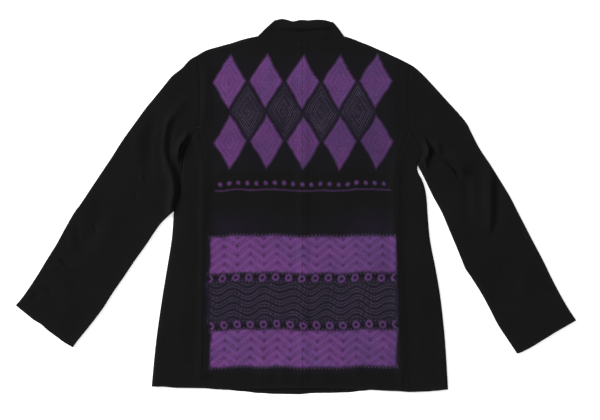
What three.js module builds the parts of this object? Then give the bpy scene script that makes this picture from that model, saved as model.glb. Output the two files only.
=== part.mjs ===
// A black jacket laid out flat, face down, with its back up: a stand collar, a back of four panels,
// two fronts that meet edge to edge underneath, and two one-piece sleeves.
//
// Millimetres. +X is the jacket's right as it lies, +Y runs from the hem to the collar and +Z is up.
// The tables are laid out from the centre-back seam (x = 0) and from the lowest point of the hem
// (y = 0). At the end the whole garment is moved so that its box stands centred on the origin.
//
// A sheet's place across the plane comes from four edges (a Coons patch), and its height from the
// lift of the cloth over the layer below: a rolled-down edge, broad swells and the main creases.

import * as THREE from "three";
import { mergeVertices } from "three/addons/utils/BufferGeometryUtils.js";

// ---- Driving dimensions -------------------------------------------------------------------------

const CLOTH = 1.8; // wall of the cloth with its seam allowances pressed in
const SEAM_GAP = 0.3; // between two pieces that are sewn together
const BESIDE_GAP = 0.6; // between a sleeve and the body's edge that it lies against
const LAYER_GAP = 0.3; // between two layers that lie on each other
const FOLD_HEIGHT = 5.6; // outer height of a flattened sleeve at its folded edges
const FOLD_STEPS = 3; // facets round one folded edge
const EDGE_ROLL = 16; // how far in from a side seam the back has risen to its full lift
const REST_LIFT = FOLD_HEIGHT - 2 * CLOTH; // gap under the back away from its edges
const DEEPEST = LAYER_GAP - REST_LIFT; // a crease's lowest relief, almost on the layer below

const SEAM_ROWS = 20; // rows from the hem up to the side-back seam's top
const LOWER_ARMHOLE_STEPS = 4; // from the underarm to the side-back seam's top
const UPPER_ARMHOLE_STEPS = 6; // from there to the shoulder point
const SIDE_PANEL_COLUMNS = LOWER_ARMHOLE_STEPS;
const SHOULDER_COLUMNS = 5;
const NECK_COLUMNS = 6;
const FRONT_HEM_STEPS = 14;
const SLEEVE_STATIONS = 20;
const RELAX_ROUNDS = 200;
const COLLAR_ROWS = 6;
const COLLAR_BACK_COLUMNS = 2 * NECK_COLUMNS;
const COLLAR_FRONT_COLUMNS = 6;

const BLACK = { color: 0x191819, roughness: 0.92, metalness: 0 };
const DYED = { color: 0x3a2a40, roughness: 0.9, metalness: 0 };

// ---- Cutting tables, each point or row in millimetres ---------------------------------------------

// Hem of the back, from the left side seam to the right one.
const HEM = [
  { x: -310, y: 14 },
  { x: -232, y: 11 },
  { x: -146, y: 9 },
  { x: -68, y: 11 },
  { x: 0, y: 12 },
  { x: 76, y: 11 },
  { x: 131, y: 9 },
  { x: 199, y: 8 },
  { x: 269, y: 8 },
  { x: 295, y: 10 },
];
// Hem of the fronts, which drops below the back's round the centre.
const FRONT_HEM = [
  { x: -309, y: 15 },
  { x: -190, y: 12 },
  { x: -129, y: 9 },
  { x: -84, y: 4 },
  { x: -27, y: 1 },
  { x: 0, y: 0 },
  { x: 45, y: 2 },
  { x: 86, y: 4 },
  { x: 120, y: 9 },
  { x: 200, y: 9 },
  { x: 294, y: 11 },
];
// Side seams up to the underarm and side-back seams up to the armhole: a row for each level.
const SIDE = {
  left: [
    { x: -310, y: 14 },
    { x: -301, y: 107 },
    { x: -289, y: 193 },
    { x: -279, y: 254 },
    { x: -269, y: 316 },
    { x: -264, y: 365 },
    { x: -262, y: 387 },
    { x: -253, y: 443 },
    { x: -243, y: 500 },
  ],
  right: [
    { x: 295, y: 10 },
    { x: 290, y: 107 },
    { x: 281, y: 193 },
    { x: 271, y: 254 },
    { x: 258, y: 316 },
    { x: 254, y: 365 },
    { x: 252, y: 398 },
    { x: 242, y: 436 },
    { x: 238, y: 467 },
    { x: 243, y: 501 },
  ],
};
const SIDE_BACK = {
  left: [
    { x: -209, y: 10 },
    { x: -205, y: 66 },
    { x: -203, y: 193 },
    { x: -201, y: 322 },
    { x: -200, y: 398 },
    { x: -202, y: 480 },
    { x: -215, y: 545 },
  ],
  right: [
    { x: 209, y: 8 },
    { x: 203, y: 59 },
    { x: 198, y: 193 },
    { x: 191, y: 316 },
    { x: 188, y: 398 },
    { x: 195, y: 480 },
    { x: 219, y: 545 },
  ],
};
// Armholes, from the underarm to the shoulder point, broken at the side-back seam's top.
const LOWER_ARMHOLE = {
  left: [
    { x: -243, y: 500 },
    { x: -228, y: 519 },
    { x: -215, y: 545 },
  ],
  right: [
    { x: 243, y: 501 },
    { x: 232, y: 520 },
    { x: 219, y: 545 },
  ],
};
const UPPER_ARMHOLE = {
  left: [
    { x: -215, y: 545 },
    { x: -211, y: 594 },
    { x: -212, y: 644 },
    { x: -217, y: 690 },
  ],
  right: [
    { x: 219, y: 545 },
    { x: 215, y: 590 },
    { x: 215, y: 633 },
    { x: 219, y: 673 },
  ],
};
// Shoulder seams, from the shoulder point to the neck point.
const SHOULDER = {
  left: [
    { x: -217, y: 690 },
    { x: -187, y: 708 },
    { x: -141, y: 722 },
    { x: -92, y: 732 },
  ],
  right: [
    { x: 219, y: 673 },
    { x: 174, y: 695 },
    { x: 117, y: 720 },
    { x: 84, y: 731 },
  ],
};
const BACK_NECK_DROP = 11; // the back neck seam below the line of the neck points
const FRONT_NECK_DROP = 78; // the front neck seam below the same line
const COLLAR_HEIGHT = 45; // at the centre front
// Top edge of the collar's back, from one folded side to the other. It stands in two soft humps.
const COLLAR_TOP = [
  { x: -51, y: 767 },
  { x: -38, y: 769 },
  { x: -14, y: 764 },
  { x: 8, y: 768 },
  { x: 36, y: 768 },
  { x: 58, y: 764 },
];
// Sleeves: a row for each section from the armhole to the cuff, with both folded edges.
const SLEEVE = {
  left: [
    { outerX: -217, outerY: 690, innerX: -243, innerY: 500 },
    { outerX: -271, outerY: 648, innerX: -254, innerY: 443 },
    { outerX: -322, outerY: 586, innerX: -264, innerY: 386 },
    { outerX: -366, outerY: 525, innerX: -294, innerY: 350 },
    { outerX: -409, outerY: 461, innerX: -332, innerY: 299 },
    { outerX: -453, outerY: 394, innerX: -374, innerY: 237 },
    { outerX: -497, outerY: 322, innerX: -412, innerY: 180 },
    { outerX: -541, outerY: 250, innerX: -444, innerY: 135 },
    { outerX: -584, outerY: 180, innerX: -471, innerY: 97 },
  ],
  right: [
    { outerX: 219, outerY: 673, innerX: 243, innerY: 501 },
    { outerX: 262, outerY: 636, innerX: 244, innerY: 464 },
    { outerX: 305, outerY: 586, innerX: 263, innerY: 414 },
    { outerX: 344, outerY: 534, innerX: 291, innerY: 360 },
    { outerX: 377, outerY: 480, innerX: 316, innerY: 303 },
    { outerX: 416, outerY: 414, innerX: 342, innerY: 244 },
    { outerX: 461, outerY: 329, innerX: 373, innerY: 192 },
    { outerX: 507, outerY: 242, innerX: 403, innerY: 140 },
    { outerX: 554, outerY: 156, innerX: 435, innerY: 88 },
  ],
};
// Rows of the side seam, counted down from the underarm, that the sleeve lies against.
const PARTING_ROWS = { left: 5, right: 1 };
// How far each cuff's edge wanders out past the straight line between its corners.
const CUFF = {
  left: [
    { share: 0, out: 0 },
    { share: 0.35, out: 1 },
    { share: 0.6, out: 5 },
    { share: 0.8, out: 2 },
    { share: 1, out: 0 },
  ],
  right: [
    { share: 0, out: 0 },
    { share: 0.3, out: 4 },
    { share: 0.6, out: 1 },
    { share: 0.8, out: 3 },
    { share: 1, out: 0 },
  ],
};
// Broad swells and creases of the upper layer. Each is a stroke from one point to another, bowed
// sideways at its middle: a ridge where the height is positive and a trough where it is negative.
const CREASES = [
  // left armpit: two crescent ridges with a trough between them
  { x1: -277, y1: 575, x2: -268, y2: 392, bow: -24, width: 9, height: 5.5 },
  { x1: -262, y1: 556, x2: -268, y2: 425, bow: -15, width: 8, height: -2 },
  { x1: -241, y1: 566, x2: -262, y2: 440, bow: -14, width: 8, height: 4 },
  { x1: -248, y1: 532, x2: -260, y2: 420, bow: -2, width: 7, height: -1.6 },
  // left sleeve: a soft hollow from the outer edge and a long low ridge
  { x1: -330, y1: 545, x2: -316, y2: 400, bow: -14, width: 14, height: 2.6 },
  { x1: -372, y1: 470, x2: -440, y2: 330, bow: 12, width: 20, height: 2 },
  { x1: -500, y1: 270, x2: -470, y2: 150, bow: -8, width: 18, height: 1.8 },
  // right armpit: a short deep pinch with a crescent ridge above it
  { x1: 250, y1: 545, x2: 262, y2: 470, bow: 6, width: 7, height: -1.7 },
  { x1: 262, y1: 520, x2: 306, y2: 456, bow: 14, width: 10, height: 5 },
  { x1: 278, y1: 484, x2: 322, y2: 432, bow: 12, width: 8, height: -1.8 },
  // right sleeve: two upright ridges below the elbow's bend
  { x1: 379, y1: 470, x2: 380, y2: 335, bow: 5, width: 9, height: 5 },
  { x1: 347, y1: 440, x2: 350, y2: 330, bow: 4, width: 13, height: 3 },
  { x1: 330, y1: 575, x2: 400, y2: 405, bow: 8, width: 16, height: 1.6 },
  { x1: 455, y1: 270, x2: 440, y2: 150, bow: 6, width: 18, height: 1.8 },
  // body: swells along the panels and soft ripples above the hem
  { x1: -236, y1: 470, x2: -250, y2: 60, bow: 4, width: 24, height: 1.5 },
  { x1: -205, y1: 480, x2: -206, y2: 40, bow: 3, width: 12, height: 1.8 },
  { x1: -110, y1: 660, x2: -100, y2: 420, bow: 6, width: 46, height: 2 },
  { x1: 112, y1: 640, x2: 104, y2: 430, bow: -6, width: 46, height: 2 },
  { x1: 190, y1: 470, x2: 203, y2: 40, bow: -3, width: 12, height: 1.8 },
  { x1: 232, y1: 440, x2: 248, y2: 60, bow: 4, width: 24, height: 1.5 },
  { x1: -86, y1: 110, x2: -88, y2: -10, bow: 2, width: 11, height: 1.8 },
  { x1: -40, y1: 92, x2: -42, y2: -10, bow: -2, width: 10, height: 1.8 },
  { x1: -8, y1: 150, x2: -9, y2: -10, bow: 1, width: 10, height: 2 },
  { x1: 36, y1: 100, x2: 38, y2: -10, bow: 3, width: 17, height: 1.7 },
  { x1: 112, y1: 95, x2: 116, y2: -10, bow: -3, width: 14, height: 1.5 },
  { x1: -176, y1: 640, x2: -150, y2: 560, bow: 8, width: 20, height: 1.5 },
  { x1: 170, y1: 622, x2: 190, y2: 540, bow: -8, width: 20, height: 1.5 },
];
// The collar's upper part rolls outwards: a soft band above a sunk line that pinches near the centre.
const ROLL = { fromTop: 11, width: 7, height: 3.2 };
const ROLL_LINE = { y: 746, width: 3.5, depth: 1.2 };

// ---- Curves ---------------------------------------------------------------------------------------

const vectors = (table) => table.map(({ x, y }) => new THREE.Vector2(x, y));
const splinePoints = (table, steps) =>
  new THREE.SplineCurve(vectors(table)).getSpacedPoints(steps);

// Height of a smooth line through a table of x and y, at one x.
function levelAt(table, x) {
  const last = table.length - 1;
  let k = 0;
  while (k < last - 1 && x > table[k + 1].x) k += 1;
  const share = THREE.MathUtils.clamp(
    (x - table[k].x) / (table[k + 1].x - table[k].x),
    0,
    1,
  );
  const eased = share * share * (3 - 2 * share);
  return THREE.MathUtils.lerp(table[k].y, table[k + 1].y, eased);
}

const hemPoints = (table, fromX, toX, steps) =>
  Array.from({ length: steps + 1 }, (_, k) => {
    const x = THREE.MathUtils.lerp(fromX, toX, k / steps);
    return new THREE.Vector2(x, levelAt(table, x));
  });

// Shares of the length run at each point of a line.
function runShares(points) {
  const run = [0];
  points.slice(1).forEach((point, k) => run.push(run[k] + point.distanceTo(points[k])));
  return run.map((length) => length / run[run.length - 1]);
}

const joined = (first, second) => [...first, ...second.slice(1)];

// Grid of points inside four edges: left and right run upwards, bottom and top run to the right.
function patch({ left, right, bottom, top }) {
  const across = runShares(top);
  const up = runShares(left);
  const corner = {
    leftBottom: left[0],
    rightBottom: right[0],
    leftTop: left[left.length - 1],
    rightTop: right[right.length - 1],
  };
  return left.map((leftPoint, i) =>
    bottom.map((bottomPoint, j) => {
      const s = across[j];
      const r = up[i];
      const at = (key) =>
        (1 - s) * leftPoint[key] +
        s * right[i][key] +
        (1 - r) * bottomPoint[key] +
        r * top[j][key] -
        (1 - s) * (1 - r) * corner.leftBottom[key] -
        s * (1 - r) * corner.rightBottom[key] -
        (1 - s) * r * corner.leftTop[key] -
        s * r * corner.rightTop[key];
      return new THREE.Vector2(at("x"), at("y"));
    }),
  );
}

// Spreads the inner points of a grid between its fixed edges (Winslow's equations), so that rows and
// columns stay clear of each other round a corner that points into the grid.
function relax(grid, rounds = RELAX_ROUNDS) {
  for (let round = 0; round < rounds; round += 1)
    for (let i = 1; i < grid.length - 1; i += 1)
      for (let j = 1; j < grid[0].length - 1; j += 1) {
        const alongRow = grid[i][j + 1].clone().sub(grid[i][j - 1]).multiplyScalar(0.5);
        const alongColumn = grid[i + 1][j].clone().sub(grid[i - 1][j]).multiplyScalar(0.5);
        const a = alongRow.lengthSq();
        const b = alongRow.dot(alongColumn);
        const c = alongColumn.lengthSq();
        const twist = grid[i + 1][j + 1]
          .clone()
          .sub(grid[i + 1][j - 1])
          .sub(grid[i - 1][j + 1])
          .add(grid[i - 1][j - 1]);
        grid[i][j] = new THREE.Vector2()
          .addScaledVector(grid[i][j + 1].clone().add(grid[i][j - 1]), c)
          .addScaledVector(grid[i + 1][j].clone().add(grid[i - 1][j]), a)
          .addScaledVector(twist, -b / 2)
          .divideScalar(2 * (a + c));
      }
  return grid;
}

// Draws a grid's border in by half a seam's gap on the sides that are sewn.
function drawIn(grid, sides, distance = SEAM_GAP / 2) {
  const rows = grid.length - 1;
  const columns = grid[0].length - 1;
  const move = (point, inner) =>
    point.add(inner.clone().sub(point).normalize().multiplyScalar(distance));
  if (sides.includes("left")) grid.forEach((row) => move(row[0], row[1]));
  if (sides.includes("right")) grid.forEach((row) => move(row[columns], row[columns - 1]));
  if (sides.includes("bottom")) grid[0].forEach((point, j) => move(point, grid[1][j]));
  if (sides.includes("top")) grid[rows].forEach((point, j) => move(point, grid[rows - 1][j]));
  return grid;
}

// ---- Height of the upper layer --------------------------------------------------------------------

// Distance from a bowed stroke, and how far along it, from 0 to 1.
function fromStroke({ x1, y1, x2, y2, bow }, x, y) {
  const length = Math.hypot(x2 - x1, y2 - y1);
  const alongX = (x2 - x1) / length;
  const alongY = (y2 - y1) / length;
  const share = ((x - x1) * alongX + (y - y1) * alongY) / length;
  const bowed = bow * 4 * share * (1 - share);
  return { share, distance: (x - x1) * alongY - (y - y1) * alongX + bowed };
}

function creases(x, y) {
  return CREASES.reduce((sum, crease) => {
    const { share, distance } = fromStroke(crease, x, y);
    if (share <= 0 || share >= 1) return sum;
    const fade = Math.sin(Math.PI * share) ** 0.7;
    return sum + crease.height * fade * Math.exp(-((distance / crease.width) ** 2));
  }, 0);
}

// Distance below a shoulder seam. At both its ends the cloth goes on at its full lift into the
// sleeve and the collar.
function belowShoulder(shoulder, x, y) {
  const rows = shoulder.map((row) => ({ x: Math.abs(row.x), y: row.y })).reverse();
  const ends = [rows[0].x, rows[rows.length - 1].x].map((end) => Math.abs(Math.abs(x) - end));
  return levelAt(rows, Math.abs(x)) - y + Math.max(0, EDGE_ROLL - Math.min(...ends) / 2);
}

// Distance from a side seam, measured level. Above the underarm the body goes on into the sleeve.
function fromSideSeam(side, x, y) {
  const top = SIDE[side][SIDE[side].length - 1];
  if (y >= top.y) return EDGE_ROLL;
  const levels = SIDE[side].map((row) => ({ x: row.y, y: Math.abs(row.x) }));
  return Math.abs(levelAt(levels, y) - Math.abs(x)) + Math.max(0, y - top.y + EDGE_ROLL);
}

// Lift of an upper layer over the one below, at a distance from the nearest sewn edge.
function liftOver(fromEdge, x, y) {
  const rise = THREE.MathUtils.smoothstep(fromEdge, 0, EDGE_ROLL);
  const relief = Math.max(creases(x, y), DEEPEST);
  return LAYER_GAP + rise * (REST_LIFT - LAYER_GAP + relief);
}

function backLift(x, y) {
  const side = x < 0 ? "left" : "right";
  return liftOver(
    Math.min(fromSideSeam(side, x, y), belowShoulder(SHOULDER[side], x, y)),
    x,
    y,
  );
}

// The sleeve's upper layer comes down only where the sleeve lies against the side seam.
function sleeveLift(side, x, y, parting) {
  const beyond = Math.max(0, parting.y + EDGE_ROLL - y);
  return liftOver(fromSideSeam(side, x, y) + beyond, x, y);
}

// ---- Solids ---------------------------------------------------------------------------------------

function solid(points, triangles) {
  const geometry = new THREE.BufferGeometry().setFromPoints(points);
  geometry.setIndex(triangles);
  return mergeVertices(geometry, 1e-4);
}

// Closed wall between a grid of outer points and a grid of inner points. Rows that are loops join
// their last column to their first.
function wall(outer, inner, loop = false) {
  const rows = outer.length;
  const columns = outer[0].length;
  const points = [...outer.flat(), ...inner.flat()];
  const index = (layer, i, j) => layer * rows * columns + i * columns + (j % columns);
  const triangles = [];
  const span = (a, b) => points[a].distanceToSquared(points[b]);
  const quad = (a, b, c, d) => {
    if (span(a, c) <= span(b, d)) triangles.push(a, b, c, a, c, d);
    else triangles.push(a, b, d, b, c, d);
  };
  const spans = loop ? columns : columns - 1;
  for (let i = 0; i < rows - 1; i += 1)
    for (let j = 0; j < spans; j += 1) {
      quad(index(0, i, j), index(0, i, j + 1), index(0, i + 1, j + 1), index(0, i + 1, j));
      quad(index(1, i, j), index(1, i + 1, j), index(1, i + 1, j + 1), index(1, i, j + 1));
    }
  for (let j = 0; j < spans; j += 1) {
    quad(index(0, 0, j), index(1, 0, j), index(1, 0, j + 1), index(0, 0, j + 1));
    const top = rows - 1;
    quad(index(0, top, j), index(0, top, j + 1), index(1, top, j + 1), index(1, top, j));
  }
  if (!loop)
    for (let i = 0; i < rows - 1; i += 1) {
      const end = columns - 1;
      quad(index(0, i, 0), index(0, i + 1, 0), index(1, i + 1, 0), index(1, i, 0));
      quad(index(0, i, end), index(1, i, end), index(1, i + 1, end), index(0, i + 1, end));
    }
  return solid(points, triangles);
}

// A sheet over a grid in the plane, its underside at the height that the function gives.
function sheet(grid, underside) {
  const raised = (offset) =>
    grid.map((row) =>
      row.map(({ x, y }) => new THREE.Vector3(x, y, underside(x, y) + offset)),
    );
  return wall(raised(CLOTH), raised(0));
}

function piece(name, geometry, finish = BLACK) {
  const mesh = new THREE.Mesh(geometry, new THREE.MeshStandardMaterial(finish));
  mesh.name = name;
  return mesh;
}

// ---- Shared edges ---------------------------------------------------------------------------------

const edges = {};
for (const side of ["left", "right"]) {
  const lower = splinePoints(LOWER_ARMHOLE[side], LOWER_ARMHOLE_STEPS);
  const upper = splinePoints(UPPER_ARMHOLE[side], UPPER_ARMHOLE_STEPS);
  edges[side] = {
    side: splinePoints(SIDE[side], SEAM_ROWS),
    sideBack: splinePoints(SIDE_BACK[side], SEAM_ROWS),
    lowerArmhole: lower,
    upperArmhole: upper,
    armhole: joined(lower, upper),
    shoulder: splinePoints(SHOULDER[side], SHOULDER_COLUMNS),
  };
}
const neckPoint = {
  left: edges.left.shoulder[SHOULDER_COLUMNS],
  right: edges.right.shoulder[SHOULDER_COLUMNS],
};
const neckMiddleY = (neckPoint.left.y + neckPoint.right.y) / 2;

// Neck seam from a neck point to the centre, dropping in a quarter wave.
function neckSeam(side, drop, steps) {
  const from = neckPoint[side];
  const to = new THREE.Vector2(0, neckMiddleY - drop);
  return Array.from({ length: steps + 1 }, (_, k) => {
    const share = k / steps;
    const x = THREE.MathUtils.lerp(from.x, to.x, share);
    return new THREE.Vector2(
      x,
      THREE.MathUtils.lerp(from.y, to.y, Math.sin((share * Math.PI) / 2)),
    );
  });
}

const centreLine = (fromY, toY, steps) =>
  Array.from(
    { length: steps + 1 },
    (_, k) => new THREE.Vector2(0, THREE.MathUtils.lerp(fromY, toY, k / steps)),
  );

// A patch whose "left" edge lies at the jacket's centre or side, whichever side it is cut for.
function sidedPatch(side, { outer, inner, bottom, top }) {
  return side === "left"
    ? patch({ left: outer, right: inner, bottom, top })
    : patch({
        left: inner,
        right: outer,
        bottom: [...bottom].reverse(),
        top: [...top].reverse(),
      });
}
const mirrored = (side, names) =>
  names.map((name) => {
    if (name === "outer") return side;
    if (name === "inner") return side === "left" ? "right" : "left";
    return name;
  });

// ---- Back -----------------------------------------------------------------------------------------

const backUnderside = (x, y) => CLOTH + backLift(x, y);

// The centre-back panel reaches from the centre seam to the side-back seam and the upper armhole.
function backPanel(side) {
  const outer = joined(edges[side].sideBack, edges[side].upperArmhole);
  const neck = neckSeam(side, BACK_NECK_DROP, NECK_COLUMNS);
  const top = joined(edges[side].shoulder, neck);
  const grid = sidedPatch(side, {
    outer,
    inner: centreLine(HEM_CENTRE_Y, neck[NECK_COLUMNS].y, outer.length - 1),
    bottom: hemPoints(HEM, outer[0].x, 0, top.length - 1),
    top,
  });
  drawIn(grid, mirrored(side, ["outer", "inner", "top"]));
  return sheet(grid, backUnderside);
}

// The side-back panel reaches from the side-back seam to the side seam and the underarm.
function sideBackPanel(side) {
  const { sideBack, lowerArmhole } = edges[side];
  const grid = sidedPatch(side, {
    outer: edges[side].side,
    inner: sideBack,
    bottom: hemPoints(HEM, edges[side].side[0].x, sideBack[0].x, SIDE_PANEL_COLUMNS),
    top: lowerArmhole,
  });
  drawIn(grid, mirrored(side, ["inner", "top"]));
  return sheet(grid, backUnderside);
}

const HEM_CENTRE_Y = levelAt(HEM, 0);

// ---- Fronts ---------------------------------------------------------------------------------------

// Moves each corner of a closed outline in, square to the line between its neighbours.
function insetOutline(outline, distance) {
  const turn = THREE.ShapeUtils.isClockWise(outline) ? -1 : 1;
  return outline.map((point, k) => {
    const before = outline[(k + outline.length - 1) % outline.length];
    const after = outline[(k + 1) % outline.length];
    const inward = new THREE.Vector2(before.y - after.y, after.x - before.x).normalize();
    return point.clone().addScaledVector(inward, turn * distance);
  });
}

// A front lies flat on the surface. It meets the other front edge to edge at the centre.
function frontPanel(side) {
  const { side: sideSeam, armhole, shoulder } = edges[side];
  const hem = hemPoints(FRONT_HEM, 0, sideSeam[0].x, FRONT_HEM_STEPS);
  const outline = [
    ...hem,
    ...sideSeam.slice(1),
    ...armhole.slice(1),
    ...shoulder.slice(1),
    ...neckSeam(side, FRONT_NECK_DROP, COLLAR_FRONT_COLUMNS).slice(1),
  ];
  const shape = new THREE.Shape(insetOutline(outline, SEAM_GAP / 2));
  const geometry = new THREE.ExtrudeGeometry(shape, { depth: CLOTH, bevelEnabled: false });
  geometry.deleteAttribute("normal");
  geometry.deleteAttribute("uv");
  return mergeVertices(geometry, 1e-4);
}

// ---- Sleeves --------------------------------------------------------------------------------------

// Cuff edge from the inner fold to the outer one, at given shares of its length.
function cuffPoints(side, shares) {
  const rows = SLEEVE[side];
  const { outerX, outerY, innerX, innerY } = rows[rows.length - 1];
  const inner = new THREE.Vector2(innerX, innerY);
  const outer = new THREE.Vector2(outerX, outerY);
  const out = new THREE.Vector2(inner.y - outer.y, outer.x - inner.x).normalize();
  if (out.y > 0) out.negate();
  const wander = CUFF[side].map(({ share, out: y }) => ({ x: share, y }));
  return shares.map((share) =>
    inner.clone().lerp(outer, share).addScaledVector(out, levelAt(wander, share)),
  );
}

// Section through a flattened sleeve, as a loop: along the top from the inner end to the outer one,
// round the outer fold, back along the flat underside and round the inner fold. The depth is how far
// the loop lies inside the sleeve's outer face. A row meets the folds at a slant, so the turns are
// drawn out along it.
function sleeveSection(row, slants, underside, depth) {
  const radius = FOLD_HEIGHT / 2;
  const last = row.length - 1;
  const ends = [
    { point: row[0], inward: row[1].clone().sub(row[0]).normalize(), slant: slants[0] },
    { point: row[last], inward: row[last - 1].clone().sub(row[last]).normalize(), slant: slants[1] },
  ];
  const at = ({ point, inward, slant }, reach, z) => {
    const { x, y } = point.clone().addScaledVector(inward, reach / slant);
    return new THREE.Vector3(x, y, z);
  };
  const inside = row.slice(1, -1);
  const top = [
    at(ends[0], radius, FOLD_HEIGHT - depth),
    ...inside.map(({ x, y }) => new THREE.Vector3(x, y, underside(x, y) + CLOTH - depth)),
    at(ends[1], radius, FOLD_HEIGHT - depth),
  ];
  const bottom = [
    at(ends[1], radius, depth),
    ...inside.map(({ x, y }) => new THREE.Vector3(x, y, depth)).reverse(),
    at(ends[0], radius, depth),
  ];
  const turn = (end, from) =>
    Array.from({ length: FOLD_STEPS - 1 }, (_, k) => {
      const angle = from - (Math.PI * (k + 1)) / FOLD_STEPS;
      return at(
        end,
        radius - (radius - depth) * Math.abs(Math.cos(angle)),
        radius + (radius - depth) * Math.sin(angle),
      );
    });
  return [...top, ...turn(ends[1], Math.PI / 2), ...bottom, ...turn(ends[0], (3 * Math.PI) / 2)];
}

// Inner fold from where the sleeve parts from the body down to the cuff.
function innerFold(side, parting) {
  const rows = SLEEVE[side].filter(({ innerY }) => innerY < parting.y - 12);
  return splinePoints(
    [parting, ...rows.map(({ innerX, innerY }) => ({ x: innerX, y: innerY }))],
    SLEEVE_STATIONS,
  );
}

const outerFold = (side) =>
  splinePoints(
    SLEEVE[side].map(({ outerX, outerY }) => ({ x: outerX, y: outerY })),
    SLEEVE_STATIONS,
  );

// Sine of the angle between a row and the fold that it ends on.
function slantAt(fold, i, neighbour) {
  const tangent = fold[Math.min(fold.length - 1, i + 1)].clone().sub(fold[Math.max(0, i - 1)]);
  const inward = neighbour.clone().sub(fold[i]);
  return Math.abs(tangent.normalize().cross(inward.normalize()));
}

function sleeve(side) {
  const { side: sideSeam, armhole } = edges[side];
  const against = sideSeam.slice(-1 - PARTING_ROWS[side]);
  const start = joined(against, armhole).map((point, j, line) => {
    const before = line[Math.max(0, j - 1)];
    const after = line[Math.min(line.length - 1, j + 1)];
    const away = new THREE.Vector2(before.y - after.y, after.x - before.x).normalize();
    const gap = j < against.length ? BESIDE_GAP : 0.7 * SEAM_GAP;
    return point.clone().addScaledVector(away, side === "left" ? gap : -gap);
  });
  const parting = start[0];
  const grid = patch({
    left: innerFold(side, parting),
    right: outerFold(side),
    bottom: start,
    top: cuffPoints(side, runShares(start)),
  });
  relax(grid);
  const last = start.length - 1;
  const folds = [grid.map((row) => row[0]), grid.map((row) => row[last])];
  const underside = (x, y) => CLOTH + sleeveLift(side, x, y, parting);
  const sections = (depth) =>
    grid.map((row, i) => {
      const slants = [slantAt(folds[0], i, row[1]), slantAt(folds[1], i, row[last - 1])];
      const loop = sleeveSection(row, slants, underside, depth);
      return side === "left" ? loop : loop.reverse();
    });
  return wall(sections(0), sections(CLOTH), true);
}

// ---- Collar ---------------------------------------------------------------------------------------

// The collar is one band. Its back lies on top, its two ends lie flat inside the front neckline
// underneath, and it folds over at the two neck points.
function collar() {
  const radius = (FOLD_HEIGHT - CLOTH) / 2;
  const column = (bottom, top, z, outward = 0) => ({ bottom, top, z, outward });
  const topBack = splinePoints(COLLAR_TOP, COLLAR_BACK_COLUMNS);
  const neckBack = joined(
    neckSeam("left", BACK_NECK_DROP, COLLAR_BACK_COLUMNS / 2),
    neckSeam("right", BACK_NECK_DROP, COLLAR_BACK_COLUMNS / 2).reverse(),
  );
  const lowZ = CLOTH / 2;
  const highZ = FOLD_HEIGHT - CLOTH / 2;
  const front = (side) => {
    const neck = neckSeam(side, FRONT_NECK_DROP, COLLAR_FRONT_COLUMNS);
    const corner = side === "left" ? topBack[0] : topBack[COLLAR_BACK_COLUMNS];
    const middle = new THREE.Vector2(0, neck[COLLAR_FRONT_COLUMNS].y + COLLAR_HEIGHT);
    return neck.map((point, k) => {
      const share = k / COLLAR_FRONT_COLUMNS;
      const top = new THREE.Vector2(
        THREE.MathUtils.lerp(corner.x, middle.x, share),
        THREE.MathUtils.lerp(corner.y, middle.y, Math.sin((share * Math.PI) / 2)),
      );
      return column(point, top, lowZ);
    });
  };
  const fold = (side) => {
    const end = side === "left" ? 0 : COLLAR_BACK_COLUMNS;
    const up = topBack[end].clone().sub(neckBack[end]).setLength(CLOTH / 2);
    return Array.from({ length: FOLD_STEPS - 1 }, (_, k) => {
      const angle = (Math.PI * (k + 1)) / FOLD_STEPS;
      return column(
        neckBack[end].clone().add(up),
        topBack[end],
        lowZ + radius * (1 - Math.cos(angle)),
        radius * Math.sin(angle) * (side === "left" ? -1 : 1),
      );
    });
  };
  const back = neckBack.map((point, k) => column(point, topBack[k], highZ));
  const columns = [
    ...front("left").reverse(),
    ...fold("left"),
    ...back,
    ...fold("right").reverse(),
    ...front("right"),
  ];
  const middle = Array.from({ length: COLLAR_ROWS + 1 }, (_, i) =>
    columns.map(({ bottom, top, z, outward }) => {
      const share = i / COLLAR_ROWS;
      const { x, y } = bottom.clone().lerp(top, share);
      const onTop = z === highZ;
      const spread = Math.min(1, 2 * share);
      return new THREE.Vector3(
        x + outward * spread,
        y,
        z + (onTop ? collarRelief(x, y, top) : 0),
      );
    }),
  );
  return offsetWall(middle);
}

// Height of the rolled band and of the sunk line under it, fading towards the folded sides.
function collarRelief(x, y, top) {
  const inside = THREE.MathUtils.smoothstep(60 - Math.abs(x - 4), 0, 22);
  const band = ROLL.height * Math.exp(-(((top.y - y - ROLL.fromTop) / ROLL.width) ** 2));
  const line = ROLL_LINE.depth * Math.exp(-(((y - ROLL_LINE.y) / ROLL_LINE.width) ** 2));
  return inside * (band - line);
}

// Wall of the cloth's thickness round a grid of points at its middle, drawn in at the seam below
// and at the two ends.
function offsetWall(middle) {
  const rows = middle.length - 1;
  const columns = middle[0].length - 1;
  const pull = (point, towards, distance) =>
    point.add(towards.clone().sub(point).normalize().multiplyScalar(distance));
  middle[0].forEach((point, j) => pull(point, middle[1][j], 0.7 * SEAM_GAP));
  middle.forEach((row) => {
    pull(row[0], row[1], SEAM_GAP);
    pull(row[columns], row[columns - 1], SEAM_GAP);
  });
  const normal = (i, j) => {
    const up = middle[Math.min(rows, i + 1)][j].clone().sub(middle[Math.max(0, i - 1)][j]);
    const along = middle[i][Math.min(columns, j + 1)].clone().sub(middle[i][Math.max(0, j - 1)]);
    return along.cross(up).normalize();
  };
  const shifted = (distance) =>
    middle.map((row, i) =>
      row.map((point, j) => point.clone().addScaledVector(normal(i, j), distance)),
    );
  return wall(shifted(CLOTH / 2), shifted(-CLOTH / 2));
}

// ---- The jacket -----------------------------------------------------------------------------------

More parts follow.
